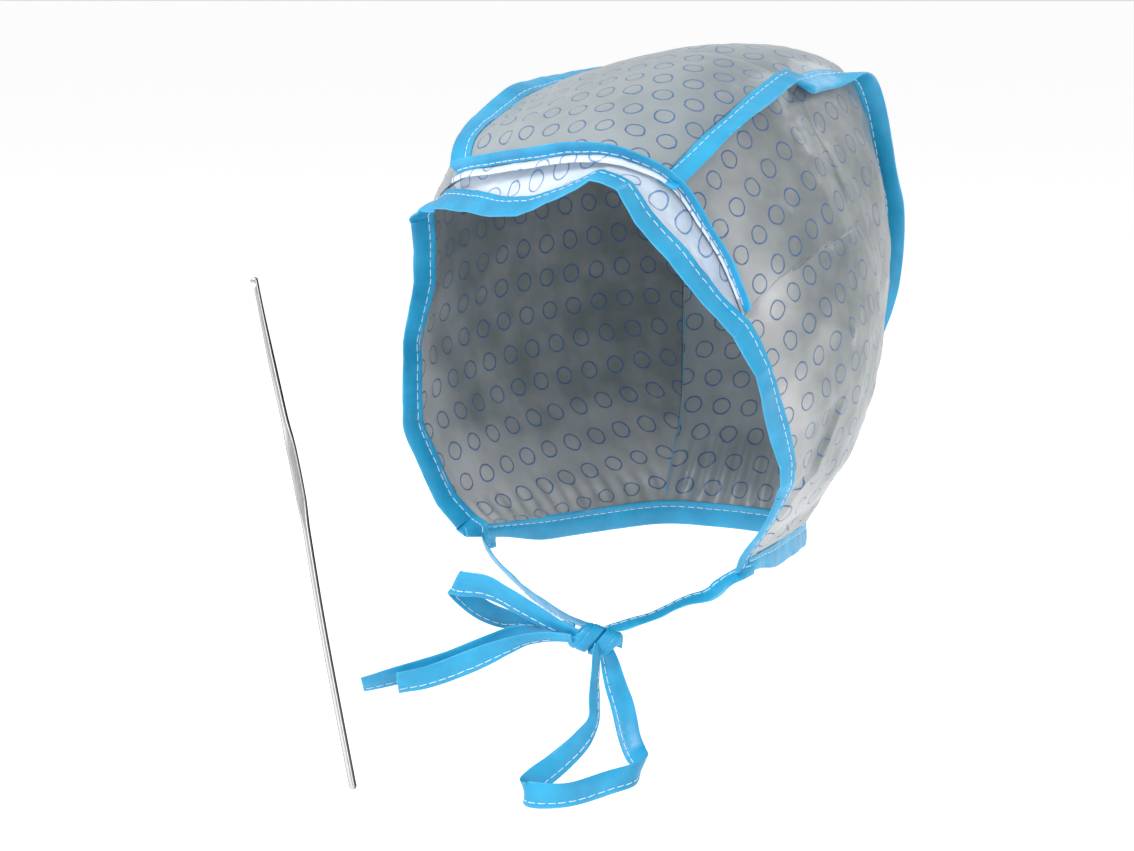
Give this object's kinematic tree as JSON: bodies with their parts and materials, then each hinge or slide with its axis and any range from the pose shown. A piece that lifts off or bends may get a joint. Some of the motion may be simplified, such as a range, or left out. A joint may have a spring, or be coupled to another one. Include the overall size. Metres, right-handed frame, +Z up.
{
  "type": "highlighting cap",
  "caption": "Tie-on bonnet of printed translucent vinyl film with bound seams and edges, tied in a bow under the chin, with the steel hook that pulls hair through it.",
  "frame": {"origin": "centre of the wearer's head, inside the cap", "axes": "+Z up, -Y the way the face looks, +X the wearer's left"},
  "size_m": [0.1878, 0.2577, 0.285],
  "materials": {
    "film": "frosted translucent vinyl with printed rings",
    "binding": "soft bright blue vinyl",
    "thread": "white sewing thread",
    "steel": "polished steel"
  },
  "bodies": {
    "cap": {"crown_strip": "film", "side_panel_left": "film", "side_panel_right": "film", "visor_film": "film", "brow_hem": "film", "brow_binding": "binding", "brow_binding_thread": "thread", "face_binding": "binding", "face_binding_thread": "thread", "nape_binding": "binding", "nape_binding_thread": "thread", "seam_binding_left": "binding", "seam_binding_left_thread": "thread", "seam_binding_right": "binding", "seam_binding_right_thread": "thread"},
    "chin_strap": {"tie_left": "binding", "tie_left_thread": "thread", "tie_right": "binding", "tie_right_thread": "thread", "bow_knot": "binding"},
    "side_loop": {"loop_side": "binding", "loop_side_thread": "thread"},
    "hanging_loop": {"loop_hanging": "binding", "loop_hanging_thread": "thread"},
    "upper_end": {"end_upper": "binding", "end_upper_thread": "thread"},
    "lower_end": {"end_lower": "binding", "end_lower_thread": "thread"},
    "hook": {"hook": "steel"}
  },
  "joints": [
    {"name": "chin_strap_swing", "type": "hinge", "parent": "cap", "child": "chin_strap", "pos_m": [0, -0.041, -0.092], "axis": [1, 0, 0], "range_deg": [-20, 12]},
    {"name": "side_loop_swing", "type": "hinge", "parent": "chin_strap", "child": "side_loop", "pos_m": [0.008, -0.077, -0.112], "axis": [0.4108, -0.9117, 0], "range_deg": [-25, 0]},
    {"name": "hanging_loop_swing", "type": "hinge", "parent": "chin_strap", "child": "hanging_loop", "pos_m": [0.02, -0.074, -0.122], "axis": [1, 0, 0], "range_deg": [-12, 18]},
    {"name": "upper_end_swing", "type": "hinge", "parent": "chin_strap", "child": "upper_end", "pos_m": [0.005, -0.076, -0.117], "axis": [0.5026, -0.8645, 0], "range_deg": [-5, 25]},
    {"name": "lower_end_swing", "type": "hinge", "parent": "chin_strap", "child": "lower_end", "pos_m": [0.005, -0.082, -0.119], "axis": [0.5026, -0.8645, 0], "range_deg": [-5, 25]},
    {"name": "hook_draw", "type": "slide", "parent": "cap", "child": "hook", "axis": [-0.243, 0.021, 0.9698], "range_m": [-0.03, 0.06]}
  ]
}
